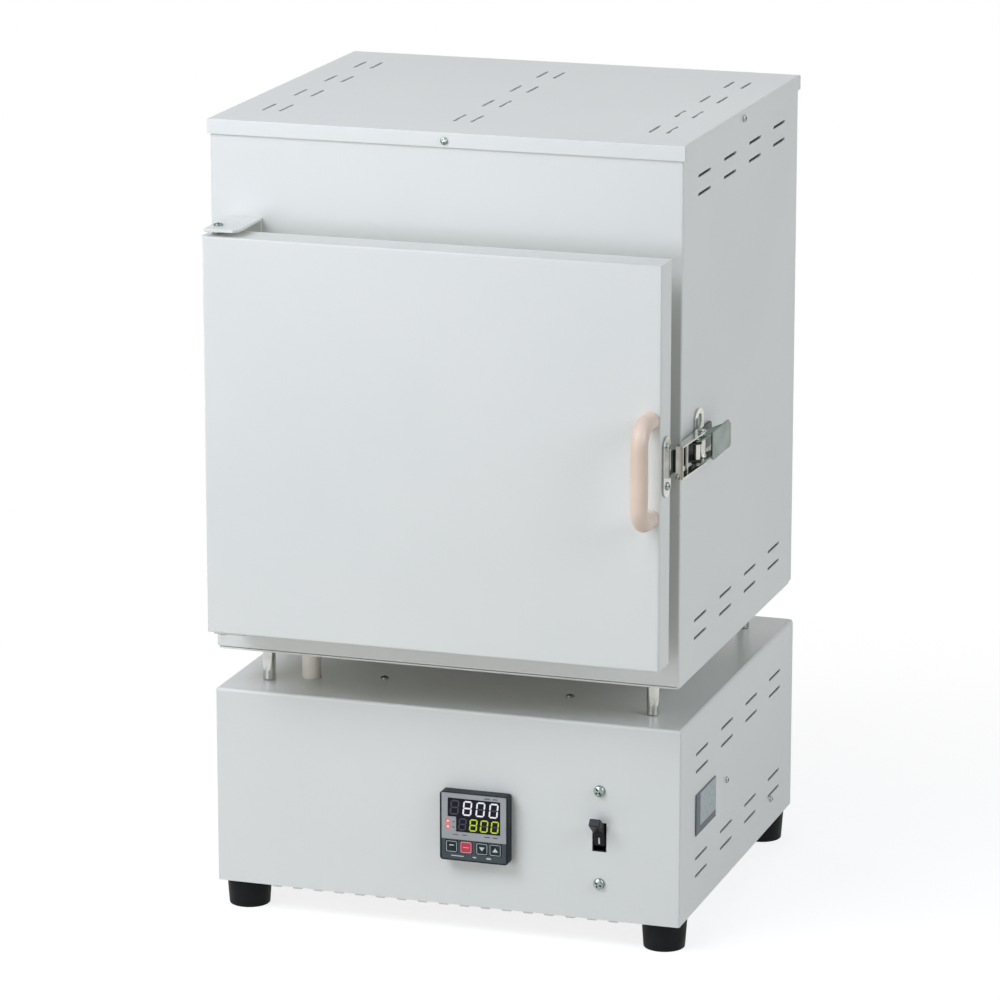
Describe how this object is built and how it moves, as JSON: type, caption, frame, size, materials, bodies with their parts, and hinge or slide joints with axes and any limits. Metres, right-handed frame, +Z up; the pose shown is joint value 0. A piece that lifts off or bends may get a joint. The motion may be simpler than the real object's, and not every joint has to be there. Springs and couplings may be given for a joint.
{
  "type": "programmable electric furnace",
  "caption": "Bench-top electric muffle furnace: hinged insulated door with draw latch, heated chamber, vented casing on posts above a control base with a temperature controller and power switch.",
  "frame": {"origin": "middle of the whole object's footprint, on the plane of its feet", "axes": "+Z up, -Y towards the door and control front, +X towards the latch side"},
  "size_m": [0.342, 0.3804, 0.5488],
  "materials": {
    "enamel": "off-white baked paint, fine even texture, semi-gloss",
    "galvanised": "zinc-plated sheet",
    "chrome": "bright plated steel",
    "rubber": "matt black rubber",
    "tube": "off-white unglazed tube",
    "fibre_board": "soft white ceramic fibre board",
    "ceramic": "fired refractory, matt",
    "handle_plastic": "pale pink-beige moulded plastic, satin",
    "black_plastic": "black moulded plastic, satin",
    "grey_plastic": "grey printed face film",
    "red_plastic": "red moulded key",
    "cream_plastic": "cream moulded terminal body",
    "window": "dark clear display window"
  },
  "bodies": {
    "furnace": {"base_cover": "enamel", "base_back_panel": "enamel", "base_tray": "galvanised", "foot_front_left": "rubber", "foot_front_right": "rubber", "foot_rear_left": "rubber", "foot_rear_right": "rubber", "post_front_left": "chrome", "post_front_right": "chrome", "post_rear_left": "chrome", "post_rear_right": "chrome", "conduit_tube": "tube", "rating_plate": "galvanised", "cord_gland": "black_plastic", "solid_state_relay": "black_plastic", "terminal_block": "cream_plastic", "controller_case": "black_plastic", "controller_face": "grey_plastic", "display_window": "window", "controller_clamp": "black_plastic", "switch_body": "black_plastic", "switch_bracket": "galvanised", "switch_screw_upper": "chrome", "switch_screw_lower": "chrome", "casing_wrap": "enamel", "casing_floor": "enamel", "casing_back": "enamel", "lid": "enamel", "core_rail_left": "galvanised", "core_rail_right": "galvanised", "insulation_floor": "fibre_board", "insulation_roof": "fibre_board", "insulation_left": "fibre_board", "insulation_right": "fibre_board", "insulation_back": "fibre_board", "heater_left": "ceramic", "heater_right": "ceramic", "hearth_plate": "ceramic", "thermocouple": "chrome", "heater_terminals": "ceramic", "hinge_bracket_upper": "enamel", "hinge_bracket_lower": "enamel", "hinge_pin_upper": "chrome", "hinge_pin_lower": "chrome", "latch_base": "chrome"},
    "door": {"door_pan": "enamel", "door_back_plate": "enamel", "door_board": "fibre_board", "door_plug": "fibre_board", "door_handle": "handle_plastic", "latch_keeper": "chrome"},
    "latch_lever": {"latch_lever": "chrome", "latch_loop_pin": "chrome"},
    "latch_loop": {"latch_loop": "chrome"},
    "switch_lever": {"switch_lever": "black_plastic"},
    "menu_key": {"menu_key": "black_plastic"},
    "run_key": {"run_key": "red_plastic"},
    "down_key": {"down_key": "black_plastic"},
    "up_key": {"up_key": "black_plastic"}
  },
  "joints": [
    {"name": "door_hinge", "type": "hinge", "parent": "furnace", "child": "door", "pos_m": [-0.15118, -0.1476, 0.34425], "axis": [0, 0, -1], "range_deg": [0, 150]},
    {"name": "latch_lever_pivot", "type": "hinge", "parent": "furnace", "child": "latch_lever", "pos_m": [0.16312, -0.1021, 0.34475], "axis": [0, 0, -1], "range_deg": [0, 100]},
    {"name": "latch_loop_pivot", "type": "hinge", "parent": "latch_lever", "child": "latch_loop", "pos_m": [0.16232, -0.0886, 0.34475], "axis": [0, 0, -1], "range_deg": [-112, 0]},
    {"name": "switch_pivot", "type": "hinge", "parent": "furnace", "child": "switch_lever", "pos_m": [0.10193, -0.1074, 0.0782], "axis": [1, 0, 0], "range_deg": [0, 72]},
    {"name": "menu_key_press", "type": "slide", "parent": "furnace", "child": "menu_key", "axis": [0, 1, 0], "range_m": [0, 0.0006], "stiffness_N_per_m": 1500},
    {"name": "run_key_press", "type": "slide", "parent": "furnace", "child": "run_key", "axis": [0, 1, 0], "range_m": [0, 0.0006], "stiffness_N_per_m": 1500},
    {"name": "down_key_press", "type": "slide", "parent": "furnace", "child": "down_key", "axis": [0, 1, 0], "range_m": [0, 0.0006], "stiffness_N_per_m": 1500},
    {"name": "up_key_press", "type": "slide", "parent": "furnace", "child": "up_key", "axis": [0, 1, 0], "range_m": [0, 0.0006], "stiffness_N_per_m": 1500}
  ],
  "couplings": [
    {"joint": "latch_loop_pivot", "follows": "latch_lever_pivot", "ratio": -1.1}
  ]
}
